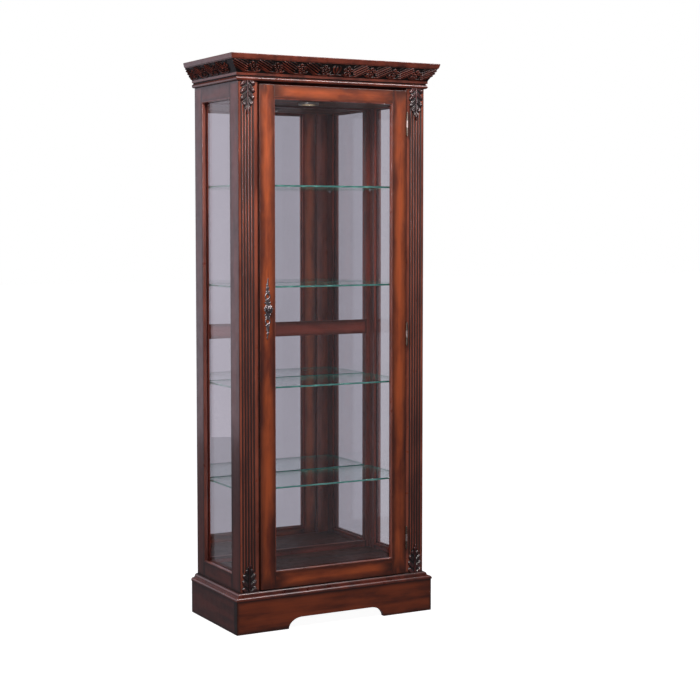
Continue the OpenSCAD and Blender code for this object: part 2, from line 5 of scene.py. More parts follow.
import bmesh
import bpy
import numpy as np
from mathutils import Euler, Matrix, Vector


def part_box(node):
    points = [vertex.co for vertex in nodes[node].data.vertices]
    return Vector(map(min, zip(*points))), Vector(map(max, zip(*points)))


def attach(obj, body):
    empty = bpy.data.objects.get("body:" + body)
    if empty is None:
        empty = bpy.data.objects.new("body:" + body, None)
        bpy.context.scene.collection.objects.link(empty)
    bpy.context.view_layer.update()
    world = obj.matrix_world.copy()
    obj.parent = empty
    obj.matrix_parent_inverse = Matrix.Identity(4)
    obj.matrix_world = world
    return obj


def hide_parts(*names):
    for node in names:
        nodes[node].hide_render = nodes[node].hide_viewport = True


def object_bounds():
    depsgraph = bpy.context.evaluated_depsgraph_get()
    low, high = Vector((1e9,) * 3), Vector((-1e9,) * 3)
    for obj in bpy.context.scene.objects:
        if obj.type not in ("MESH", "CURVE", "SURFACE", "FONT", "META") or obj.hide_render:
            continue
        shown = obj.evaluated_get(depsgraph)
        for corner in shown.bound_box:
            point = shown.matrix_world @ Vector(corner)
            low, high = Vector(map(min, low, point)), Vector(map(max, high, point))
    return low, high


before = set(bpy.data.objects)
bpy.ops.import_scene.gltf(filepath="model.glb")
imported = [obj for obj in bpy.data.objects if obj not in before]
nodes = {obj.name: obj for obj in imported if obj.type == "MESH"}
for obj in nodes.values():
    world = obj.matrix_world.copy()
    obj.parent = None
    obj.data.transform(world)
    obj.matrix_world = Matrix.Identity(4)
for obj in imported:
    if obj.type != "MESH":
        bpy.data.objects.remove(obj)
cad_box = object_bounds()

# ---- places taken from the CAD model ----

pilaster_lo, pilaster_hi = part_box("right_pilaster")
frieze_lo, frieze_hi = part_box("crown_frieze")
FACE_Y = pilaster_lo.y
HALF_W = pilaster_hi.x
BACK_Y = cad_box[1].y
CASE_BOTTOM = pilaster_lo.z
CASE_TOP = pilaster_hi.z
FRIEZE_Z = frieze_lo.z
CAP_Z = frieze_hi.z
BASE_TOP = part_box("base_moulding")[1].z
PLINTH_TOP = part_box("plinth_front")[1].z
CROWN_GROOVE_OUT = 0.005


# ---- node helpers ----

def put(tree, socket, value):
    """Links a socket to another one, or sets its value."""
    if isinstance(value, bpy.types.NodeSocket):
        tree.links.new(value, socket)
    else:
        socket.default_value = value


def add(tree, kind, inputs=None, **settings):
    """A new node with its settings and inputs."""
    made = tree.nodes.new(kind)
    for key, value in settings.items():
        setattr(made, key, value)
    for key, value in (inputs or {}).items():
        put(tree, made.inputs[key], value)
    return made


def calc(tree, operation, a, b=0.0, c=0.0, clamp=False):
    """The output of a Math node."""
    made = add(tree, "ShaderNodeMath", {0: a, 1: b, 2: c}, operation=operation, use_clamp=clamp)
    return made.outputs[0]


def smooth(tree, value, low, high):
    """0 below low, 1 above high, smooth between."""
    made = add(
        tree,
        "ShaderNodeMapRange",
        {"Value": value, "From Min": low, "From Max": high},
        interpolation_type="SMOOTHSTEP",
    )
    return made.outputs[0]


def remap(tree, value, low, high, to_low, to_high):
    """Value taken from one range to another, held at the ends."""
    made = add(
        tree,
        "ShaderNodeMapRange",
        {"Value": value, "From Min": low, "From Max": high, "To Min": to_low, "To Max": to_high},
    )
    return made.outputs[0]


def tint(tree, factor, a, b, blend="MIX"):
    """The output of a colour mix."""
    made = tree.nodes.new("ShaderNodeMix")
    made.data_type = "RGBA"
    made.blend_type = blend
    put(tree, made.inputs["Factor"], factor)
    put(tree, made.inputs["A"], a)
    put(tree, made.inputs["B"], b)
    return made.outputs["Result"]


def noise(tree, vector, scale, detail=4.0, roughness=0.55, distortion=0.0):
    made = add(
        tree,
        "ShaderNodeTexNoise",
        {
            "Vector": vector,
            "Scale": scale,
            "Detail": detail,
            "Roughness": roughness,
            "Distortion": distortion,
        },
    )
    return made.outputs["Fac"]


def stretched(tree, vector, scale):
    """The vector with each axis scaled, so that a texture is drawn out along the grain."""
    made = add(tree, "ShaderNodeVectorMath", {0: vector, 1: scale}, operation="MULTIPLY")
    return made.outputs[0]


def bump(tree, height, distance, strength=1.0, normal=None):
    inputs = {"Height": height, "Distance": distance, "Strength": strength}
    if normal is not None:
        inputs["Normal"] = normal
    return add(tree, "ShaderNodeBump", inputs).outputs[0]


def rgb(hex_code):
    """An sRGB hex colour as linear RGBA."""
    values = [int(hex_code[i : i + 2], 16) / 255 for i in (0, 2, 4)]
    linear = [v / 12.92 if v <= 0.04045 else ((v + 0.055) / 1.055) ** 2.4 for v in values]
    return (*linear, 1.0)


def new_material(name):
    """A material with one Principled node on its output."""
    made = bpy.data.materials.new(name)
    made.use_nodes = True
    return made, made.node_tree, made.node_tree.nodes["Principled BSDF"]


# ---- wood ----

GRAIN_STRETCH = 0.05
STREAK_SCALE = 170.0
FIGURE_SCALE = 16.0
CLOUD_SCALE = 17.0
CLOUD_STRETCH = 0.28
AXES = {"x": 0, "y": 1, "z": 2}


def grain_scale(axis):
    """Scale that draws a texture out along one axis."""
    scale = [1.0, 1.0, 1.0]
    scale[AXES[axis]] = GRAIN_STRETCH
    return tuple(scale)


def cloud_scale(axis):
    """Scale that draws the stain's clouds out a little along one axis."""
    scale = [1.0, 1.0, 1.0]
    scale[AXES[axis]] = CLOUD_STRETCH
    return tuple(scale)


def mitred_position(tree, place):
    """Position with x and y swapped on the side strips of a mitred moulding, so the grain turns."""
    parts = add(tree, "ShaderNodeSeparateXYZ", {0: place})
    x, y, z = parts.outputs
    out_x = calc(tree, "SUBTRACT", calc(tree, "ABSOLUTE", x), HALF_W)
    out_y = calc(tree, "SUBTRACT", FACE_Y, y)
    on_side = calc(tree, "GREATER_THAN", out_x, out_y)
    turned = add(tree, "ShaderNodeCombineXYZ", {0: y, 1: x, 2: z}).outputs[0]
    made = tree.nodes.new("ShaderNodeMix")
    made.data_type = "VECTOR"
    put(tree, made.inputs["Factor"], on_side)
    vector_inputs = [s for s in made.inputs if s.type == "VECTOR" and s.enabled]
    put(tree, vector_inputs[-2], place)
    put(tree, vector_inputs[-1], turned)
    return next(s for s in made.outputs if s.type == "VECTOR" and s.enabled)


def arris_distance(tree, place, lo, hi, grain):
    """Distance from a board's nearest long edge, and from its nearest end, in metres."""
    parts = add(tree, "ShaderNodeSeparateXYZ", {0: place})
    inside = []
    for axis in range(3):
        middle = (lo[axis] + hi[axis]) / 2
        half = (hi[axis] - lo[axis]) / 2
        offset = calc(tree, "ABSOLUTE", calc(tree, "SUBTRACT", parts.outputs[axis], middle))
        inside.append(calc(tree, "SUBTRACT", half, offset))
    end = inside.pop(AXES[grain])
    return calc(tree, "MAXIMUM", inside[0], inside[1]), end


def broad_face(tree, lo, hi):
    """1 on a board's two broad faces and 0 on its narrow ones."""
    size = [hi[axis] - lo[axis] for axis in range(3)]
    normal = add(tree, "ShaderNodeTexCoord").outputs["Normal"]
    parts = add(tree, "ShaderNodeSeparateXYZ", {0: normal})
    across = calc(tree, "ABSOLUTE", parts.outputs[size.index(min(size))])
    return smooth(tree, across, 0.3, 0.9)


def wood(name, grain="z", lo=None, hi=None, light="a8532f", dark="5a2415", edge="2a1009",
         burnish=0.010, rim=0.0, worn_end=0.012, gloss=0.5, specular=0.5, mitred=False, seed=0.0, glaze=None):
    """Stained, lacquered wood. lo and hi are the corners of a board whose edges are burnished dark.
    rim is how dark its narrow faces are painted: a painted shade, as of the gap beside the door.
    worn_end is how far from its ends dark smudges reach. The last argument is a function of the tree
    and the position. It gives how much dark colour lies in the hollows: painted shade with some glazing,
    where the surface is duller than the lacquer round it."""
    made, tree, shader = new_material(name)
    place = add(tree, "ShaderNodeTexCoord").outputs["Object"]
    shifted = add(tree, "ShaderNodeVectorMath", {0: place, 1: (seed, seed * 0.7, seed * 1.3)},
                  operation="ADD").outputs[0]
    if mitred:
        shifted = mitred_position(tree, shifted)
    along = stretched(tree, shifted, grain_scale(grain))
    streaks = noise(tree, along, STREAK_SCALE, 6.0, 0.6)
    figure = noise(tree, along, FIGURE_SCALE, 5.0, 0.6, 0.8)
    cloud = noise(tree, stretched(tree, shifted, cloud_scale(grain)), CLOUD_SCALE, 4.0, 0.6)
    tone = calc(tree, "ADD", calc(tree, "MULTIPLY", figure, 0.45), calc(tree, "MULTIPLY", cloud, 0.60))
    colour = tint(tree, smooth(tree, tone, 0.37, 0.64), rgb(dark), rgb(light))
    fine = calc(tree, "MULTIPLY", smooth(tree, streaks, 0.46, 0.74), 0.30)
    colour = tint(tree, fine, colour, rgb(dark))
    if lo is not None:
        long_edge, end = arris_distance(tree, place, lo, hi, grain)
        ragged = calc(tree, "MULTIPLY", calc(tree, "SUBTRACT", cloud, 0.5), burnish * 1.3)
        distance = calc(tree, "ADD", long_edge, ragged)
        shade = smooth(tree, distance, burnish * 1.8, -burnish * 0.5)
        broad = broad_face(tree, lo, hi)
        shade = calc(tree, "MULTIPLY", calc(tree, "MULTIPLY", shade, 0.92),
                     remap(tree, broad, 0.0, 1.0, 0.35, 1.0))
        # Narrow faces are darkened as far as rim says: a painted shade, as of the gap between the door and
        # the pilasters.
        shade = calc(tree, "MAXIMUM", shade, remap(tree, broad, 0.0, 1.0, rim, 0.0))
        smudge = calc(tree, "MULTIPLY", smooth(tree, end, worn_end, 0.0), smooth(tree, cloud, 0.36, 0.52))
        shade = calc(tree, "MAXIMUM", shade, calc(tree, "MULTIPLY", smudge, 0.88))
        joint = smooth(tree, end, 0.0026, 0.0006)
        colour = tint(tree, calc(tree, "MAXIMUM", shade, joint), colour, rgb(edge))
        rubbed = calc(tree, "MULTIPLY", smooth(tree, long_edge, 0.0012, 0.0003),
                      smooth(tree, noise(tree, shifted, 60.0), 0.42, 0.6))
        colour = tint(tree, calc(tree, "MULTIPLY", rubbed, 0.45), colour, rgb(light))
    cloudy = noise(tree, shifted, 38.0, 3.0)
    rough = remap(tree, cloudy, 0.3, 0.7, 0.26 + 0.2 * (1 - gloss), 0.40 + 0.2 * (1 - gloss))
    coat = 0.55 * gloss
    if glaze is not None:
        # Hollows take the dark edge colour: a painted shade, with some glazing. There the lacquer is also
        # duller.
        hollows = glaze(tree, place)
        colour = tint(tree, hollows, colour, rgb(edge))
        rough = calc(tree, "MULTIPLY_ADD", hollows, 0.35, rough, clamp=True)
        coat = calc(tree, "MULTIPLY_ADD", hollows, -coat, coat)
    put(tree, shader.inputs["Base Color"], colour)
    put(tree, shader.inputs["Roughness"], rough)
    put(tree, shader.inputs["Coat Weight"], coat)
    shader.inputs["Coat Roughness"].default_value = 0.14
    shader.inputs["Specular IOR Level"].default_value = specular
    relief = bump(tree, streaks, 0.00025, 0.35)
    ripple = bump(tree, noise(tree, shifted, 22.0, 2.0), 0.0006, 0.25, relief)
    put(tree, shader.inputs["Normal"], ripple)
    return made


def flute_glaze(tree, place):
    """Painted shade in the flutes of a pilaster, with some glazing: dark where their floors lie behind its
    face.
    """
    y = add(tree, "ShaderNodeSeparateXYZ", {0: place}).outputs[1]
    depth = calc(tree, "SUBTRACT", y, FACE_Y)
    in_flute = smooth(tree, depth, 0.0002, 0.0012)
    past_flutes = smooth(tree, depth, 0.0032, 0.0040)
    return calc(tree, "MULTIPLY", calc(tree, "SUBTRACT", in_flute, past_flutes), 0.92, clamp=True)


def moulding_glaze(tree, place):
    """Painted shade, with some glazing, in the groove of the crown and in the quirks along the top and the
    foot of the base moulding.
    """
    x, y, z = add(tree, "ShaderNodeSeparateXYZ", {0: place}).outputs
    out_x = calc(tree, "SUBTRACT", calc(tree, "ABSOLUTE", x), HALF_W)
    out_y = calc(tree, "SUBTRACT", FACE_Y, y)
    out = calc(tree, "MAXIMUM", out_x, out_y)
    crown = calc(tree, "MULTIPLY", smooth(tree, out, CROWN_GROOVE_OUT + 0.0022, CROWN_GROOVE_OUT),
                 smooth(tree, z, CASE_TOP - 0.002, CASE_TOP))
    crown = calc(tree, "MULTIPLY", crown, smooth(tree, z, FRIEZE_Z + 0.002, FRIEZE_Z))
    foot = calc(tree, "MULTIPLY", smooth(tree, z, BASE_TOP - 0.004, BASE_TOP + 0.0002),
                smooth(tree, z, CASE_TOP, BASE_TOP + 0.01))
    toe = smooth(tree, z, PLINTH_TOP + 0.0022, PLINTH_TOP)
    low = calc(tree, "MULTIPLY", calc(tree, "MAXIMUM", foot, toe), 0.85)
    return calc(tree, "MAXIMUM", calc(tree, "MULTIPLY", crown, 0.9), low, clamp=True)


def carved(name, hollow_shade_colour, low, high, rough, coat, coat_rough, specular):
    """Dark carved wood: its low parts go near black, a painted shade with some glazing, and the high parts
    are lighter where rubbed, and glossy.
    """
    made, tree, shader = new_material(name)
    place = add(tree, "ShaderNodeTexCoord").outputs["Object"]
    relief = add(tree, "ShaderNodeAttribute", attribute_name="relief").outputs["Fac"]
    grain = noise(tree, place, 150.0, 5.0)
    patch = noise(tree, place, 24.0, 3.0)
    tone = calc(tree, "ADD", relief, calc(tree, "MULTIPLY", calc(tree, "SUBTRACT", grain, 0.5), 0.25))
    crest = tint(tree, smooth(tree, patch, 0.38, 0.62), rgb(low), rgb(high))
    # Low parts take the near black colour: a painted shade of the hollows, with some glazing.
    colour = tint(tree, smooth(tree, tone, 0.30, 0.85), rgb(hollow_shade_colour), crest)
    put(tree, shader.inputs["Base Color"], colour)
    put(tree, shader.inputs["Roughness"], remap(tree, tone, 0.1, 0.8, 0.55, rough))
    shader.inputs["Coat Weight"].default_value = coat
    shader.inputs["Coat Roughness"].default_value = coat_rough
    shader.inputs["Specular IOR Level"].default_value = specular
    put(tree, shader.inputs["Normal"], bump(tree, grain, 0.0006, 0.4))
    return made


# ---- other materials ----

def metal(name, light, dark, rough_low, rough_high, scale=240.0, grime=0.5):
    """Aged metal: a brighter and a darker tone in patches, dull where it is dark."""
    made, tree, shader = new_material(name)
    place = add(tree, "ShaderNodeTexCoord").outputs["Object"]
    patches = noise(tree, place, scale, 5.0, 0.6)
    dirt = smooth(tree, patches, 0.42, 0.66)
    put(tree, shader.inputs["Base Color"],
        tint(tree, calc(tree, "MULTIPLY", dirt, grime), rgb(light), rgb(dark)))
    put(tree, shader.inputs["Roughness"], remap(tree, patches, 0.35, 0.65, rough_low, rough_high))
    shader.inputs["Metallic"].default_value = 1.0
    put(tree, shader.inputs["Normal"], bump(tree, patches, 0.0002, 0.3))
    return made


def facing_factor(tree, base, grazing):
    """Share of light that a pane mirrors: base when seen straight on, up to grazing at the edge."""
    facing = add(tree, "ShaderNodeLayerWeight", {"Blend": 0.5}).outputs["Facing"]
    steep = calc(tree, "POWER", facing, 4.0)
    return calc(tree, "MULTIPLY_ADD", steep, grazing - base, base, clamp=True)


def pane(name, see_through, base, grazing, smudge=0.02):
    """Thin clear glass: what is behind shows through, and it mirrors more at a low angle."""
    made = bpy.data.materials.new(name)
    made.use_nodes = True
    tree = made.node_tree
    tree.nodes.clear()
    output = add(tree, "ShaderNodeOutputMaterial")
    place = add(tree, "ShaderNodeTexCoord").outputs["Object"]
    haze = noise(tree, place, 9.0, 3.0)
    clear = add(tree, "ShaderNodeBsdfTransparent", {"Color": see_through})
    mirror = add(tree, "ShaderNodeBsdfGlossy", {"Color": (1.0, 1.0, 1.0, 1.0)})
    put(tree, mirror.inputs["Roughness"], remap(tree, haze, 0.3, 0.7, 0.008, smudge))
    mix = add(tree, "ShaderNodeMixShader", {0: facing_factor(tree, base, grazing)})
    put(tree, mix.inputs[1], clear.outputs[0])
    put(tree, mix.inputs[2], mirror.outputs[0])
    put(tree, output.inputs["Surface"], mix.outputs[0])
    return made


def silvered(name):
    """Mirror glass: perfectly sharp, with a faint grey tint that varies by a trace."""
    made, tree, shader = new_material(name)
    place = add(tree, "ShaderNodeTexCoord").outputs["Object"]
    cloud = noise(tree, place, 5.0, 4.0)
    put(tree, shader.inputs["Base Color"], tint(tree, cloud, rgb("d9dade"), rgb("e6e6ea")))
    shader.inputs["Metallic"].default_value = 1.0
    shader.inputs["Roughness"].default_value = 0.0
    return made


def glass_edge(name):
    """Ground edge of a glass shelf: teal, with a few paler flecks. It emits a little light in its own colour:
    a painted glow, as the edge is not a lamp.
    """
    made, tree, shader = new_material(name)
    place = add(tree, "ShaderNodeTexCoord").outputs["Object"]
    streak = noise(tree, stretched(tree, place, (1.0, 1.0, 6.0)), 40.0, 4.0)
    colour = tint(tree, smooth(tree, streak, 0.45, 0.7), rgb("1f6a60"), rgb("5fa596"))
    put(tree, shader.inputs["Base Color"], colour)
    put(tree, shader.inputs["Roughness"], remap(tree, streak, 0.3, 0.7, 0.10, 0.22))
    shader.inputs["Coat Weight"].default_value = 1.0
    shader.inputs["Coat Roughness"].default_value = 0.05
    # Emission on the edge: a painted glow.
    put(tree, shader.inputs["Emission Color"], colour)
    shader.inputs["Emission Strength"].default_value = 0.10
    return made


def hardboard(name):
    """Brown fibreboard of the mirror backs."""
    made, tree, shader = new_material(name)
    place = add(tree, "ShaderNodeTexCoord").outputs["Object"]
    fibres = noise(tree, place, 420.0, 5.0, 0.7)
    blotch = noise(tree, place, 12.0, 4.0)
    colour = tint(tree, fibres, rgb("8a6a48"), rgb("b08c62"))
    colour = tint(tree, calc(tree, "MULTIPLY", blotch, 0.35), colour, rgb("6d4f34"))
    put(tree, shader.inputs["Base Color"], colour)
    put(tree, shader.inputs["Roughness"], remap(tree, fibres, 0.3, 0.7, 0.6, 0.8))
    put(tree, shader.inputs["Normal"], bump(tree, fibres, 0.0003, 0.5))
    return made


def moulded_plastic(name, colour, dark, roughness=0.45):
    made, tree, shader = new_material(name)
    place = add(tree, "ShaderNodeTexCoord").outputs["Object"]
    grain = noise(tree, place, 900.0, 3.0)
    put(tree, shader.inputs["Base Color"], tint(tree, grain, rgb(colour), rgb(dark)))
    put(tree, shader.inputs["Roughness"],
        remap(tree, grain, 0.3, 0.7, roughness - 0.06, roughness + 0.08))
    put(tree, shader.inputs["Normal"], bump(tree, grain, 0.0001, 0.4))
    return made


def lit_lens(name):
    """Frosted lens of the ceiling lamp, with a faint warm glow: brightest at its middle."""
    made, tree, shader = new_material(name)
    place = add(tree, "ShaderNodeTexCoord").outputs["Object"]
    lo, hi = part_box("lamp_lens")
    middle = (lo + hi) / 2
    offset = add(tree, "ShaderNodeVectorMath", {0: place, 1: tuple(middle)}, operation="DISTANCE")
    glow = remap(tree, offset.outputs["Value"], 0.0, 0.028, 0.75, 0.3)
    frost = noise(tree, place, 700.0, 3.0)
    put(tree, shader.inputs["Base Color"], tint(tree, frost, rgb("f3ead8"), rgb("fffaf0")))
    put(tree, shader.inputs["Roughness"], remap(tree, frost, 0.3, 0.7, 0.35, 0.5))
    put(tree, shader.inputs["Normal"], bump(tree, frost, 0.0002, 0.5))
    shader.inputs["Emission Color"].default_value = rgb("ffcf86")
    put(tree, shader.inputs["Emission Strength"], glow)
    return made


# ---- giving materials and eased edges to CAD nodes ----

def paint(names, material):
    """Puts one material on every slot of these CAD nodes or pieces."""
    for name in names:
        target = nodes[name]
        if not target.material_slots:
            target.data.materials.append(None)
        for item in target.material_slots:
            item.material = material


WELD_REACH = 0.00002
EASE_ANGLE = math.radians(35)


def ease(names, width, segments=2):
    """Rounds the sharp edges of CAD nodes with modifiers, leaving their meshes alone."""
    for name in names:
        target = nodes[name]
        weld = target.modifiers.new("weld", "WELD")
        weld.merge_threshold = WELD_REACH
        bevel = target.modifiers.new("ease", "BEVEL")
        bevel.width = width
        bevel.segments = segments
        bevel.limit_method = "ANGLE"
        bevel.angle_limit = EASE_ANGLE
        bevel.use_clamp_overlap = False
        bevel.miter_outer = "MITER_ARC"
        normals = target.modifiers.new("normals", "WEIGHTED_NORMAL")
        normals.keep_sharp = False


def paint_board(name, grain, seed, **look):
    """A board's own wood material, burnished along its edges."""
    lo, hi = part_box(name)
    paint([name], wood(name + "_wood", grain, lo, hi, seed=seed, **look))


# Copies of the case's wood by where it sits. The side, inner and plinth copies are darker than the front's: a
# painted shade for faces that get less light. The front's rim paints the door's narrow faces dark: a painted
# shade of the gap beside the pilasters.
FRONT_LOOK = {"light": "c05c2d", "dark": "702c17", "edge": "2e120d", "burnish": 0.0155,
              "rim": 0.9, "worn_end": 0.080}
SIDE_SHADED_LOOK = {"light": "70352c", "dark": "42201c", "edge": "1f0e0d", "gloss": 0.8}
INNER_SHADED_LOOK = {"light": "84382a", "dark": "4e2017", "gloss": 0.10, "specular": 0.15}
PLINTH_SHADED_LOOK = {"light": "96431f", "dark": "4a1c0e", "edge": "220d08", "gloss": 0.7}

for index, name in enumerate(["door_left_stile", "door_right_stile"]):
    paint_board(name, "z", 1.3 + index, **FRONT_LOOK)
for index, name in enumerate(["door_top_rail", "door_bottom_rail"]):
    paint_board(name, "x", 4.1 + index, **FRONT_LOOK)
for side in ("left", "right"):
    offset = 0.4 if side == "left" else 2.9
    for index, part in enumerate(["front_stile", "back_stile"]):
        paint_board(f"{side}_{part}", "z", 7.7 + index + offset, **SIDE_SHADED_LOOK)
    for index, part in enumerate(["top_rail", "bottom_rail"]):
        paint_board(f"{side}_{part}", "y", 12.2 + index + offset, **SIDE_SHADED_LOOK)
    paint_board(f"{side}_pilaster", "z", 17.0 + offset, light="ac5a42", dark="6f3426", burnish=0.003,
                edge="200a07", gloss=1.0, glaze=flute_glaze)
    paint_board(f"plinth_{side}", "y", 21.0 + offset, **SIDE_SHADED_LOOK)
paint_board("plinth_front", "x", 25.3, **PLINTH_SHADED_LOOK)
paint(["base_moulding", "crown_bead", "crown_cap"],
      wood("moulding_wood", "x", light="7a3726", dark="431c14", edge="140605", mitred=True, seed=3.3,
           gloss=1.0, glaze=moulding_glaze))
for index, name in enumerate(["back_top_rail", "back_mid_rail", "back_bottom_rail",
                              "front_top_rail", "front_bottom_rail"]):
    paint_board(name, "x", 31.0 + index, **INNER_SHADED_LOOK)
for index, name in enumerate(["back_left_stile", "back_right_stile"]):
    paint_board(name, "z", 40.0 + index, **INNER_SHADED_LOOK)
# The floor and ceiling panels inside the case are near black: a painted shade.
paint(["floor_panel"], wood("floor_panel_wood", "x", light="421d13", dark="24100a", seed=44.0, gloss=0.0,
                            specular=0.08))
paint(["ceiling_panel"], wood("ceiling_panel_wood", "x", seed=45.0, light="5e3219", dark="341a0e",
                              gloss=0.0, specular=0.06))
paint(["side_glass_beads", "door_glass_beads"], wood("bead_wood", "z", seed=46.0, **INNER_SHADED_LOOK))
paint(["plinth_back", "crown_back_rail"],
      wood("rough_wood", "x", light="7a4a33", dark="4b2a1d", seed=48.0, gloss=0.1))
paint(["plinth_blocks"], wood("raw_wood", "z", light="c9a679", dark="9c7548", seed=50.0, gloss=0.0))
# The first colour of each carved wood is the near black of its low parts: a painted shade.
frieze_wood = carved("carved_frieze_wood", "0b0403", "43190f", "6b2e21", 0.42, 0.12, 0.16, 0.20)
leaf_wood = carved("carved_leaf_wood", "160808", "401817", "6e3431", 0.28, 1.0, 0.09, 0.5)

window = pane("window_glass", (0.93, 0.945, 0.945, 1.0), 0.03, 0.9)
paint(["left_side_glass", "right_side_glass", "door_glass"], window)
shelf_face = pane("shelf_glass", (0.86, 0.95, 0.93, 1.0), 0.05, 0.9)
shelf_edge = glass_edge("shelf_glass_edge")
paint(["upper_mirror", "lower_mirror"], silvered("mirror_silver"))
paint(["backing_boards"], hardboard("hardboard"))
paint(["door_hinge_leaves", "door_hinge_screws"],
      metal("worn_brass", "c6b9b4", "7a6d66", 0.32, 0.48, grime=0.6))
paint(["frame_hinge_leaves", "hinge_pins", "frame_hinge_screws"],
      metal("dull_brass", "80746a", "3c332c", 0.34, 0.52, grime=0.8))
pewter = metal("dark_pewter", "a8a1a4", "2c2628", 0.26, 0.44, scale=420.0, grime=0.85)
knob_pewter = metal("knob_pewter", "8f888a", "1e191b", 0.24, 0.42, scale=520.0, grime=0.95)
steel = metal("plated_steel", "c9c9c7", "8d8d8b", 0.16, 0.32, grime=0.4)
paint(["shelf_pins", "handle_screw", "catch_plate"], steel)
paint(["lamp_housing"], metal("lamp_steel", "a9a6a0", "6f6c68", 0.3, 0.42, grime=0.4))
paint(["lamp_lens"], lit_lens("lamp_lens_glow"))
paint(["magnetic_catch"], moulded_plastic("catch_plastic", "5b4636", "4b3a2d"))
paint(["floor_glides"], moulded_plastic("glide_nylon", "2c2a28", "1f1d1c"))

# ---- carved and cast pieces ----

MM = 0.001


def new_piece(name, verts, faces, material, body, replaced, smooth_shading=True):
    """A mesh that rides on a CAD body, stands for CAD nodes and takes a material slot's finish."""
    mesh = bpy.data.meshes.new(name)
    mesh.from_pydata([tuple(v) for v in verts], [], faces)
    mesh.validate()
    made = bpy.data.objects.new(name, mesh)
    bpy.context.scene.collection.objects.link(made)
    shape = bmesh.new()
    shape.from_mesh(mesh)
    bmesh.ops.recalc_face_normals(shape, faces=shape.faces)
    shape.to_mesh(mesh)
    shape.free()
    if smooth_shading:
        mesh.shade_smooth()
    else:
        mesh.shade_flat()
    for item in material if isinstance(material, list) else [material]:
        mesh.materials.append(item)
    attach(made, body)
    if replaced:
        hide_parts(*replaced)
    return made


def relief_solid(front, back, keep):
    """Vertices and faces of a closed solid between two grids of points, over the kept cells only."""
    rows, columns = keep.shape
    front_index = -np.ones(front.shape[:2], int)
    used = np.zeros(front.shape[:2], bool)
    used[:-1, :-1] |= keep
    used[1:, :-1] |= keep
    used[:-1, 1:] |= keep
    used[1:, 1:] |= keep
    count = int(used.sum())
    front_index[used] = np.arange(count)
    verts = np.concatenate([front[used], back[used]])
    faces = []
    padded = np.pad(keep, 1)
    for r, c in zip(*np.nonzero(keep)):
        a, b = front_index[r, c], front_index[r, c + 1]
        d, e = front_index[r + 1, c + 1], front_index[r + 1, c]
        faces.append((a, b, d, e))
        faces.append((e + count, d + count, b + count, a + count))
        if not padded[r, c + 1]:
            faces.append((b, a, a + count, b + count))
        if not padded[r + 2, c + 1]:
            faces.append((e, d, d + count, e + count))
        if not padded[r + 1, c]:
            faces.append((a, e, e + count, a + count))
        if not padded[r + 1, c + 2]:
            faces.append((d, b, b + count, d + count))
    return verts, faces


def step(value, low, high):
    """numpy's smooth step from 0 at low to 1 at high."""
    t = np.clip((value - low) / (high - low), 0.0, 1.0)
    return t * t * (3 - 2 * t)


def store_relief(piece, values):
    """Keeps how high each vertex was carved, 0 to 1, for the carved wood's colour, whose low parts are a
    painted shade.
    """
    layer = piece.data.attributes.new("relief", "FLOAT", "POINT")
    layer.data.foreach_set("value", np.asarray(values, np.float32))


# -- acanthus leaves --

TOP_LEAF_LENGTH = 106.0
BOTTOM_LEAF_LENGTH = 98.0
LEAF_HALF_WIDTH = 26.0
LEAF_RISE = 9.0
LOBE_PITCH = 23.0
LEAF_GRID = 0.75


def leaf_height(along, across, length, seed):
    """Height in mm of a carved leaf, and whether the point is on it. along runs from root to tip."""
    rng = np.random.default_rng(seed)
    side = np.abs(across)
    share = np.clip(along / length, 0, 1)
    shift = np.where(across > 0, 1, -1) * rng.uniform(0.5, 2.0)
    bend = side - 0.012 * side**2
    phase = (along - 1.15 * bend + shift + 9.0) / LOBE_PITCH
    lobe = np.abs(np.cos(np.pi * phase))
    body = np.clip(1 - step(share, 0.42, 1.04) ** 1.3, 0.0, 1.0)
    outline = LEAF_HALF_WIDTH * body * (0.70 + 0.30 * lobe**0.6)
    outline = np.maximum(outline, 5.5 * np.sqrt(np.clip((length - along) / 16, 0, 1)))
    u = np.clip(side / np.maximum(outline, 0.01), 0, 1.4)
    dome = np.sqrt(np.clip(1 - u**3, 0, 1))
    swell = 0.80 + 0.20 * np.cos(2 * np.pi * (share - 0.08) * 1.15)
    height = (1.2 + 3.4 * dome) * swell
    away = step(side, 2.5, 6.5)
    height += away * (4.6 * lobe**1.4 - 2.4)
    rim = np.exp(-(((u - 0.80) / 0.13) ** 2)) * lobe
    height += away * 2.2 * rim
    crease = np.exp(-(((lobe - 1.0) / 0.06) ** 2))
    height -= away * 1.5 * crease * step(u, 0.95, 0.6)
    side_veins = np.abs(np.cos(np.pi * 4 * phase))
    height += away * 1.3 * (side_veins - 0.5) * step(u, 1.0, 0.7)
    rib_half = 2.9 * (1 - 0.5 * share)
    height += 3.4 * np.clip(1 - (side / rib_half) ** 2, 0, 1)
    height -= 2.8 * np.exp(-(((side - rib_half - 1.4) / 1.2) ** 2))
    curl = np.exp(-(((share - 0.90) / 0.07) ** 2))
    height += 3.2 * curl * dome
    height = np.clip(height, 0.4, LEAF_RISE)
    return height, u < 1.0


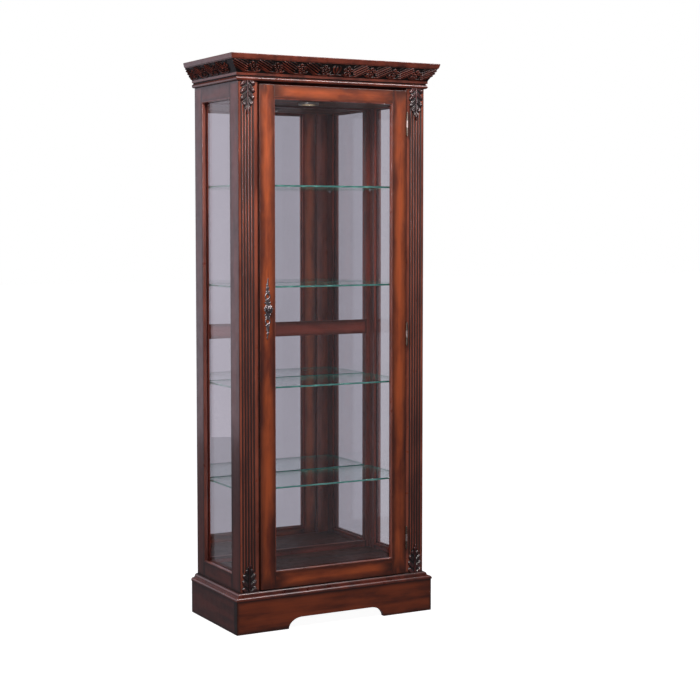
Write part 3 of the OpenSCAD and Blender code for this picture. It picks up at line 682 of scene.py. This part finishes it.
def carved_leaf(name, side, root_z, way, length, seed):
    """One leaf on a pilaster, its root at root_z and its tip along way (+1 up, -1 down)."""
    lo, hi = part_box("carved_leaves")
    middle = side * (hi.x - LEAF_HALF_WIDTH * MM)
    along = np.arange(0, length + LEAF_GRID, LEAF_GRID)
    across = np.arange(-LEAF_HALF_WIDTH - LEAF_GRID, LEAF_HALF_WIDTH + 2 * LEAF_GRID, LEAF_GRID)
    a, q = np.meshgrid(along, across, indexing="ij")
    height, on_leaf = leaf_height(a, q, length, seed)
    keep = on_leaf[:-1, :-1] & on_leaf[1:, 1:] & on_leaf[:-1, 1:] & on_leaf[1:, :-1]
    x = middle + q * MM
    z = root_z + way * np.minimum(a, length) * MM
    front = np.stack([x, FACE_Y - height * MM, z], -1)
    back = np.stack([x, np.full_like(x, FACE_Y + 0.2 * MM), z], -1)
    verts, faces = relief_solid(front, back, keep)
    piece = new_piece(name, verts, faces, leaf_wood, "case", ["carved_leaves"])
    store_relief(piece, np.clip((FACE_Y - verts[:, 1]) / (LEAF_RISE * MM), 0, 1))
    return piece


# -- carved frieze --

FRIEZE_FOOT_OUT = 9.5
FRIEZE_HEAD_OUT = 34.0
FRIEZE_HEIGHT = (CAP_Z - FRIEZE_Z) / MM
FRIEZE_SLOPE = math.hypot(FRIEZE_HEAD_OUT - FRIEZE_FOOT_OUT, FRIEZE_HEIGHT)
ROSETTE_PITCH = 86.0
RIB_PITCH = 8.4
FRIEZE_GRID = 0.8


def rosette(a, b):
    """Height of a five-petalled flower round the origin."""
    radius = np.hypot(a, b)
    angle = np.arctan2(b, a)
    height = np.zeros_like(a)
    for petal in range(5):
        turn = math.pi / 2 + petal * 2 * math.pi / 5
        px, py = 11.6 * math.cos(turn), 11.6 * math.sin(turn)
        away = np.hypot(a - px, b - py) / 6.7
        rim = np.exp(-(((away - 0.68) / 0.22) ** 2))
        petal_height = (2.0 * np.sqrt(np.clip(1 - away**2, 0, 1)) + 2.8 * rim) * (away < 1)
        height = np.maximum(height, petal_height)
    button = 5.4 * np.sqrt(np.clip(1 - (radius / 3.8) ** 2, 0, 1))
    ring = np.exp(-(((radius - 5.6) / 1.2) ** 2))
    height = height * (1 - 0.95 * ring)
    gap = np.clip(-np.cos(5 * (angle - math.pi / 2)), 0, 1) ** 3
    seeds = 2.4 * np.exp(-(((radius - 16.4) / 1.7) ** 2)) * gap
    return np.maximum(np.maximum(height, seeds), button)


def curve_band(a, b, points, half_widths, rise):
    """Height of a rounded band along a smooth line through points, tapering as half_widths says."""
    knots = np.asarray(points, float)
    t = np.linspace(0, len(knots) - 1, 60)
    line = np.stack([np.interp(t, range(len(knots)), knots[:, k]) for k in (0, 1)], -1)
    for _ in range(6):
        line[1:-1] = (line[:-2] + 2 * line[1:-1] + line[2:]) / 4
    width = np.interp(t, range(len(knots)), half_widths)
    best = np.zeros_like(a)
    for (px, py), w in zip(line, width):
        away = np.hypot(a - px, b - py) / w
        best = np.maximum(best, rise * np.sqrt(np.clip(1 - away**2, 0, 1)) * min(1.0, w / 2.5))
    return best


def feather(a, b):
    """Spray of parallel ribs that falls from the upper left to the lower right."""
    turn = math.radians(-32)
    p = a * math.cos(turn) + b * math.sin(turn)
    q = -a * math.sin(turn) + b * math.cos(turn)
    rib = (0.5 + 0.5 * np.cos(2 * np.pi * q / RIB_PITCH)) ** 1.3
    reach = np.where(p > 0, 22.0 + 3.0 * rib, 33.0)
    u = np.clip((np.abs(p) / reach) ** 6.0 + (np.abs(q) / 18.0) ** 8.0, 0, 1)
    dome = np.sqrt(1 - u)
    height = 4.8 * rib * dome
    tip = np.exp(-(((p - 19.0) / 3.0) ** 2)) * rib * (u < 1)
    return np.clip(height + 1.8 * tip, 0, None)


def scroll_cell(a, b):
    """One repeat of the frieze: a flower with a leaf on its left and a stem that runs under it."""
    height = rosette(a - 1.0, b + 0.5)
    height = np.maximum(height, feather(a + 0.5 * ROSETTE_PITCH, b - 1.0))
    stem = curve_band(a, b, [(-63, 12), (-56, -4), (-42, -15), (-22, -20), (2, -20.5), (20, -14), (27, -2)],
                      [1.2, 3.0, 3.8, 3.6, 3.2, 2.4, 0.8], 3.3)
    curl = curve_band(a, b, [(-34, 19), (-24, 20), (-17, 14), (-19, 7)], [1.0, 2.2, 2.2, 1.0], 2.8)
    twig = curve_band(a, b, [(20, 19), (15, 20), (6, 21), (-6, 21)], [0.8, 2.0, 1.8, 0.8], 2.4)
    return np.maximum(np.maximum(height, stem), np.maximum(curl, twig))


def centre_motif(a, b):
    """Upright bud at the middle of the front, with a leaf on each side."""
    bud = 4.6 * np.sqrt(np.clip(1 - (a / 5.2) ** 2 - ((b - 2) / 14) ** 2, 0, 1))
    bud -= 1.0 * np.exp(-((a / 0.7) ** 2)) * (bud > 0)
    for way in (-1, 1):
        side = curve_band(a, b, [(way * 2, -14), (way * 11, -4), (way * 13, 9), (way * 7, 17)],
                          [1.5, 4.2, 3.8, 1.0], 3.6)
        bud = np.maximum(bud, side)
    return np.maximum(bud, curve_band(a, b, [(-24, -19), (0, -16), (24, -19)], [2.4, 3.0, 2.4], 3.0))


def frieze_relief(a, b, front):
    """Height in mm over the frieze's slope. a is mm from the middle of the front, or from the corner."""
    limit = step(b, -FRIEZE_SLOPE / 2, -FRIEZE_SLOPE / 2 + 2.2)
    limit *= step(b, FRIEZE_SLOPE / 2, FRIEZE_SLOPE / 2 - 1.6)
    height = np.zeros_like(a)
    if front:
        for index in range(4):
            centre = (index + 0.5) * ROSETTE_PITCH
            height = np.maximum(height, scroll_cell(a + centre, b))
            height = np.maximum(height, scroll_cell(-(a - centre), b))
        height = np.maximum(height, centre_motif(a, b))
    else:
        first = (HALF_W / MM + 21) - 3.5 * ROSETTE_PITCH
        for index in range(5):
            height = np.maximum(height, scroll_cell(-(a - first - index * ROSETTE_PITCH), b))
    rng = np.random.default_rng(7 if front else 8)
    ground = rng.uniform(0, 0.35, a.shape) * (height < 0.3)
    return (height - 0.9 + ground) * limit


def frieze_strip(name, way):
    """One mitred strip: way 0 is the front, -1 the left side and 1 the right side."""
    rows = int(FRIEZE_SLOPE / FRIEZE_GRID)
    front = way == 0
    length = 2 * (HALF_W / MM + 22) if front else (BACK_Y - FACE_Y) / MM + 22
    columns = int(length / FRIEZE_GRID)
    v = np.linspace(0, 1, rows + 1)
    t = np.linspace(0, 1, columns + 1)
    tt, vv = np.meshgrid(t, v, indexing="ij")
    a = (tt - 0.5) * length if front else tt * length
    height = frieze_relief(a, (vv - 0.5) * FRIEZE_SLOPE, front)
    run = FRIEZE_HEAD_OUT - FRIEZE_FOOT_OUT
    out = FRIEZE_FOOT_OUT + vv * run + height * FRIEZE_HEIGHT / FRIEZE_SLOPE
    z = vv * FRIEZE_HEIGHT - height * run / FRIEZE_SLOPE
    back = [(10.0, FRIEZE_HEIGHT), (-10.5, 8.0), (-20.0, 8.0), (-20.0, 0.0)]
    out = np.concatenate([out] + [np.full((columns + 1, 1), o) for o, _ in back], 1) * MM
    z = np.concatenate([z] + [np.full((columns + 1, 1), h) for _, h in back], 1) * MM + FRIEZE_Z
    relief = np.concatenate([height, np.zeros((columns + 1, len(back)))], 1)
    share = t[:, None] + 0 * out
    if front:
        x = (2 * share - 1) * (HALF_W + out)
        y = FACE_Y - out
    else:
        x = way * (HALF_W + out)
        y = (FACE_Y - out) * (1 - share) + BACK_Y * share
    verts = np.stack([x, y, z], -1).reshape(-1, 3)
    ring = out.shape[1]
    faces = []
    for i in range(columns):
        for j in range(ring):
            k = (j + 1) % ring
            faces.append((i * ring + j, i * ring + k, (i + 1) * ring + k, (i + 1) * ring + j))
    faces.append(tuple(range(ring)))
    faces.append(tuple(columns * ring + j for j in reversed(range(ring))))
    piece = new_piece(name, verts, faces, frieze_wood, "case", ["crown_frieze"])
    piece.data.set_sharp_from_angle(angle=math.radians(70))
    store_relief(piece, np.clip((relief.reshape(-1) + 0.9) / 4.5, 0, 1))
    return piece


# -- handle --

PLATE_LENGTH = 204.0
PLATE_HALF_WIDTH = 14.5
PLATE_GRID = 0.6
RING_PLACE = 40.8


def plate_height(v, h):
    """Height in mm of the handle's pierced backplate, 0 where there is none. v is up, h to the right."""
    up = np.abs(v)
    lean = np.sign(v)
    bend = 1.6 * np.sin(up / 13.0) * step(up, 52, 75) * lean
    tip = np.interp(up, [0, 50, 57, 66, 74, 81, 88, 95, 102.1],
                    [0, 0, 5.4, 6.2, 3.0, 4.6, 2.2, 2.8, 0.2])
    leaf = (1 - (np.abs(h - bend) / np.maximum(tip, 0.1)) ** 2) * (up > 49)
    height = 2.6 * np.sqrt(np.clip(leaf, 0, 1))
    height -= 0.7 * np.exp(-(((h - bend) / 0.6) ** 2)) * (leaf > 0.2)
    away = np.hypot(h, (up - RING_PLACE) * 0.82)
    ring = 1 - ((away - 7.8) / 2.8) ** 2
    height = np.maximum(height, 2.9 * np.sqrt(np.clip(ring, 0, 1)))
    for place, radius, shift in ((54.5, 4.2, 4.0), (54.5, 4.2, -4.0), (28.0, 4.6, 4.6), (28.0, 4.6, -4.6),
                                 (70.0, 3.0, 3.4), (78.0, 2.6, -3.0), (20.0, 3.6, 8.6), (20.0, 3.6, -8.6)):
        curl = 1 - (np.hypot(h - shift * lean, up - place) / radius) ** 2
        height = np.maximum(height, 3.1 * np.sqrt(np.clip(curl, 0, 1)))
    neck = 1 - (h / np.interp(up, [0, 20, 30, 34], [8.0, 7.0, 5.0, 4.0])) ** 2
    height = np.maximum(height, 2.4 * np.sqrt(np.clip(neck, 0, 1)) * (up < 33.5))
    disc = 1 - (np.hypot(h, v) / 13.0) ** 4
    height = np.maximum(height, 2.8 * np.clip(disc, 0, 1) ** 0.5)
    beads = 0.5 + 0.5 * np.cos(np.arctan2(v, h) * 16)
    rim = np.exp(-(((np.hypot(h, v) - 11.2) / 1.1) ** 2))
    height += 0.7 * beads * rim
    return height


def handle_plate():
    lo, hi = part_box("handle_backplate")
    middle = (lo + hi) / 2
    v = np.arange(-PLATE_LENGTH / 2, PLATE_LENGTH / 2 + PLATE_GRID, PLATE_GRID)
    h = np.arange(-PLATE_HALF_WIDTH, PLATE_HALF_WIDTH + PLATE_GRID, PLATE_GRID)
    vv, hh = np.meshgrid(v, h, indexing="ij")
    height = plate_height(vv, hh)
    solid = height > 0.35
    keep = solid[:-1, :-1] & solid[1:, 1:] & solid[:-1, 1:] & solid[1:, :-1]
    x = middle.x + hh * MM
    z = middle.z + vv * MM
    front = np.stack([x, hi.y - np.maximum(height, 0.8) * MM, z], -1)
    back = np.stack([x, np.full_like(x, hi.y), z], -1)
    verts, faces = relief_solid(front, back, keep)
    return new_piece("handle_pierced_plate", verts, faces, pewter, "door", ["handle_backplate"])


def lathe(profile, centre, turns, flutes=0, flute_depth=0.0, flute_from=0, wide=1.0, tall=1.0):
    """Turned shape along -Y: profile holds (radius, distance out) in mm. Flutes press in its later rings."""
    verts, faces = [], []
    rings = len(profile)
    for index, (radius, out) in enumerate(profile):
        for k in range(turns):
            angle = 2 * math.pi * k / turns
            dent = 1.0
            if flutes and index >= flute_from:
                dent = 1 - flute_depth * (1 - abs(math.cos(flutes * angle / 2)) ** 0.6)
            verts.append((centre.x + radius * dent * math.cos(angle) * MM * wide,
                          centre.y - out * MM, centre.z + radius * dent * math.sin(angle) * MM * tall))
    for index in range(rings - 1):
        for k in range(turns):
            n = (k + 1) % turns
            faces.append((index * turns + k, index * turns + n,
                          (index + 1) * turns + n, (index + 1) * turns + k))
    faces.append(tuple(range(turns)))
    faces.append(tuple((rings - 1) * turns + k for k in reversed(range(turns))))
    return verts, faces


KNOB_SET_BACK = 2.0


def handle_knob():
    lo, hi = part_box("handle_knob")
    base = Vector(((lo.x + hi.x) / 2, hi.y, (lo.z + hi.z) / 2))
    out = (hi.y - lo.y) / MM - KNOB_SET_BACK
    r = (hi.x - lo.x) / 2 / MM
    profile = [(0.4 * r, 0.0), (0.64 * r, 0.2), (0.66 * r, 1.4), (0.55 * r, 2.2), (0.40 * r, 3.2),
               (0.34 * r, 5.0), (0.36 * r, 7.0), (0.50 * r, 8.4), (0.74 * r, 9.2), (0.93 * r, 10.8),
               (1.0 * r, 13.2), (0.98 * r, out - 8.6), (0.88 * r, out - 5.6), (0.70 * r, out - 3.2),
               (0.50 * r, out - 1.9), (0.36 * r, out - 1.6), (0.31 * r, out - 2.0), (0.26 * r, out - 1.1),
               (0.17 * r, out - 0.3), (0.05 * r, out)]
    verts, faces = lathe(profile, base, 96, flutes=8, flute_depth=0.26, flute_from=8,
                         wide=0.80, tall=1.04)
    return new_piece("handle_fluted_knob", verts, faces, knob_pewter, "door", ["handle_knob"])


# -- rounded lips round the panes --

LIP_PROFILE = [(-0.6, 0.5), (0.6, 0.3), (1.9, 0.8), (3.0, 1.9), (3.6, 3.3), (3.7, 5.0), (3.7, 10.5),
               (-0.6, 10.5)]


def sight_lip(name, corners, place, body, material):
    """A rounded lip along a frame's inner edge. corners are the sight's (u, z) limits in metres, and
    place(u, z, depth) gives the point that lies depth behind the frame's face."""
    (u0, z0), (u1, z1) = corners
    verts, faces = [], []
    count = len(LIP_PROFILE)
    for u, z, du, dz in ((u0, z0, 1, 1), (u1, z0, -1, 1), (u1, z1, -1, -1), (u0, z1, 1, -1)):
        for inward, depth in LIP_PROFILE:
            verts.append(place(u + du * inward * MM, z + dz * inward * MM, depth * MM))
    for corner in range(4):
        following = (corner + 1) % 4
        for k in range(count):
            n = (k + 1) % count
            faces.append((corner * count + k, corner * count + n,
                          following * count + n, following * count + k))
    piece = new_piece(name, verts, faces, material, body, [])
    piece.data.set_sharp_from_angle(angle=math.radians(50))
    return piece


# -- glass shelves --

def bevelled_glass(node):
    """A shelf pane with ground, rounded edges that show green."""
    lo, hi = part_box(node)
    shape = bmesh.new()
    bmesh.ops.create_cube(shape, size=1.0)
    size, middle = hi - lo, (hi + lo) / 2
    for v in shape.verts:
        v.co = Vector((v.co.x * size.x, v.co.y * size.y, v.co.z * size.z)) + middle
    bmesh.ops.bevel(shape, geom=shape.edges[:], offset=0.0007, segments=2, profile=0.6,
                    affect="EDGES")
    verts = [v.co.copy() for v in shape.verts]
    faces = [tuple(v.index for v in f.verts) for f in shape.faces]
    shape.free()
    piece = new_piece(node + "_pane", verts, faces, [shelf_face, shelf_edge],
                      node.replace("glass_shelf", "shelf"), [node], False)
    for face in piece.data.polygons:
        face.material_index = 0 if abs(face.normal.z) > 0.9 else 1
    return piece


for label, side in (("left", -1), ("right", 1)):
    carved_leaf(f"top_leaf_{label}", side, CASE_TOP, -1, TOP_LEAF_LENGTH, 11 + side)
    carved_leaf(f"bottom_leaf_{label}", side, CASE_BOTTOM, 1, BOTTOM_LEAF_LENGTH, 21 + side)
frieze_strip("frieze_front", 0)
frieze_strip("frieze_left", -1)
frieze_strip("frieze_right", 1)
handle_plate()
handle_knob()
for number in (1, 2, 3, 4):
    bevelled_glass(f"glass_shelf_{number}")

lip_wood = wood("lip_wood", "z", light="8c4a3a", dark="5a2a20", seed=52.0, gloss=1.0)
door_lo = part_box("door_left_stile")[0]
sight_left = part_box("door_top_rail")[0].x
sight_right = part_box("door_top_rail")[1].x
door_sight = ((sight_left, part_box("door_bottom_rail")[1].z), (sight_right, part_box("door_top_rail")[0].z))
sight_lip("door_sight_lip", door_sight, lambda u, z, depth: (u, door_lo.y + depth, z), "door", lip_wood)
for label, side in (("left", -1), ("right", 1)):
    rail_lo, rail_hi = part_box(f"{label}_top_rail")
    sight = ((rail_lo.y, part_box(f"{label}_bottom_rail")[1].z), (rail_hi.y, rail_lo.z))
    outer_x = max(abs(rail_lo.x), abs(rail_hi.x))
    sight_lip(f"{label}_sight_lip", sight,
              lambda u, z, depth, side=side, x=outer_x: (side * (x - depth), u, z), "case", lip_wood)

ease(["left_pilaster", "right_pilaster"], 0.0009)
ease(["left_front_stile", "left_back_stile", "right_front_stile", "right_back_stile"], 0.0010)
ease(["door_left_stile", "door_right_stile", "door_top_rail", "door_bottom_rail"], 0.0016)
ease(["crown_cap", "plinth_front", "plinth_left", "plinth_right"], 0.0012)

# ---- stage, light and camera ----

FLOOR_SIZE = 60.0
ROOM_TONE = (0.58, 0.52, 0.59, 1.0)
SURROUND_TONE = (0.13, 0.12, 0.13, 1.0)
WHITE = (1.0, 1.0, 1.0, 1.0)
FLOOR_PALE = (0.5, 0.5, 0.5, 1.0)
FLOOR_GLOW = 0.96


def rays(tree):
    """Two masks: 1 where the stage is seen past the object, and 1 where glass or a mirror shows it."""
    path = add(tree, "ShaderNodeLightPath")
    through = calc(tree, "GREATER_THAN", path.outputs["Transparent Depth"], 0.5)
    mirrored = calc(tree, "SUBTRACT", path.outputs["Is Singular Ray"], path.outputs["Is Camera Ray"],
                    clamp=True)
    glazed = calc(tree, "MAXIMUM", through, mirrored)
    unglazed = calc(tree, "SUBTRACT", 1.0, glazed)
    return calc(tree, "MULTIPLY", path.outputs["Is Camera Ray"], unglazed), glazed


def studio_floor():
    """A pale floor: white to the camera, one grey behind glass and in mirrors, one dim tone as light."""
    mesh = bpy.data.meshes.new("studio_floor")
    half = FLOOR_SIZE / 2
    mesh.from_pydata([(-half, -half, 0), (half, -half, 0), (half, half, 0), (-half, half, 0)], [],
                     [(0, 1, 2, 3)])
    floor = bpy.data.objects.new("studio_floor", mesh)
    bpy.context.scene.collection.objects.link(floor)
    made = bpy.data.materials.new("pale_floor")
    made.use_nodes = True
    tree = made.node_tree
    tree.nodes.clear()
    output = add(tree, "ShaderNodeOutputMaterial")
    direct, glazed = rays(tree)
    pale = add(tree, "ShaderNodeBsdfDiffuse", {"Color": FLOOR_PALE})
    glow = add(tree, "ShaderNodeEmission", {"Color": WHITE, "Strength": FLOOR_GLOW})
    seen = add(tree, "ShaderNodeAddShader")
    put(tree, seen.inputs[0], pale.outputs[0])
    put(tree, seen.inputs[1], glow.outputs[0])
    tone = tint(tree, glazed, SURROUND_TONE, ROOM_TONE)
    other = add(tree, "ShaderNodeEmission", {"Color": tone, "Strength": 1.0})
    mix = add(tree, "ShaderNodeMixShader", {0: direct})
    put(tree, mix.inputs[1], other.outputs[0])
    put(tree, mix.inputs[2], seen.outputs[0])
    put(tree, output.inputs["Surface"], mix.outputs[0])
    mesh.materials.append(made)


def studio_world():
    """An even surround: white to the camera, one grey behind glass and in mirrors, dim as light."""
    world = bpy.data.worlds.new("studio")
    bpy.context.scene.world = world
    world.use_nodes = True
    tree = world.node_tree
    tree.nodes.clear()
    output = add(tree, "ShaderNodeOutputWorld")
    direct, glazed = rays(tree)
    colour = tint(tree, glazed, SURROUND_TONE, ROOM_TONE)
    colour = tint(tree, direct, colour, WHITE)
    background = add(tree, "ShaderNodeBackground", {"Color": colour, "Strength": 1.0})
    put(tree, output.inputs["Surface"], background.outputs[0])


def softbox(name, place, target, size, watts, colour=(1.0, 1.0, 1.0), diffuse=True, glossy=True):
    data = bpy.data.lights.new(name, "AREA")
    data.shape = "RECTANGLE"
    data.size, data.size_y = size
    data.energy = watts
    data.color = colour
    lamp = bpy.data.objects.new(name, data)
    lamp.location = place
    lamp.rotation_euler = (Vector(target) - Vector(place)).to_track_quat("-Z", "Y").to_euler()
    lamp.visible_camera = False
    lamp.visible_diffuse = diffuse
    lamp.visible_glossy = glossy
    bpy.context.scene.collection.objects.link(lamp)


studio_floor()
studio_world()
softbox("key", place=(-0.9, -1.5, 2.45), target=(0.0, -0.15, 1.85), size=(0.8, 0.6), watts=33.0,
        colour=(1.0, 0.94, 0.88))
softbox("fill", place=(-3.2, -1.2, 2.4), target=(0.0, 0.0, 1.2), size=(1.0, 1.6), watts=7.5,
        colour=(0.92, 0.90, 1.0))
softbox("top", place=(1.2, -0.5, 3.1), target=(0.1, -0.1, 1.5), size=(1.3, 1.1), watts=22.0,
        colour=(0.95, 0.93, 1.0))
softbox("side", place=(-2.0, 3.6, 1.25), target=(-0.37, 0.0, 1.2), size=(2.6, 2.3), watts=4.2,
        colour=(0.97, 0.87, 1.0))
softbox("left_strip", place=(-2.6, -2.4, 1.95), target=(0.0, -0.15, 1.4), size=(0.30, 1.5), watts=36.0,
        colour=(0.97, 0.92, 1.0), diffuse=False)
softbox("top_strip", place=(0.9, -1.6, 3.2), target=(0.9, -0.17, 1.8), size=(1.6, 0.30), watts=56.0,
        colour=(1.0, 0.90, 0.90), diffuse=False)
lamp_lo, lamp_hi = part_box("lamp_lens")
BELOW_LENS = Vector((0, 0, 0.006))
softbox("cabinet_lamp", place=(lamp_lo + lamp_hi) / 2 - BELOW_LENS, target=(0.0, 0.03, 0.0),
        size=(0.04, 0.04), watts=0.8, colour=(1.0, 0.88, 0.72), glossy=False)

CAMERA_PLACE = (-2.490, -4.8045, 1.332)
CAMERA_YAW = 28.75
CAMERA_PITCH_DOWN = 3.75
CAMERA_LENS = 81.57
CAMERA_SENSOR = 36.0
CAMERA_SHIFT_Y = -0.0286

camera_data = bpy.data.cameras.new("camera")
camera_data.lens = CAMERA_LENS
camera_data.sensor_width = CAMERA_SENSOR
camera_data.shift_y = CAMERA_SHIFT_Y
camera = bpy.data.objects.new("camera", camera_data)
camera.location = CAMERA_PLACE
camera.rotation_euler = Euler((math.radians(90 - CAMERA_PITCH_DOWN), 0.0, math.radians(-CAMERA_YAW)))
bpy.context.scene.collection.objects.link(camera)
bpy.context.scene.camera = camera
bpy.context.scene.view_settings.view_transform = "Standard"
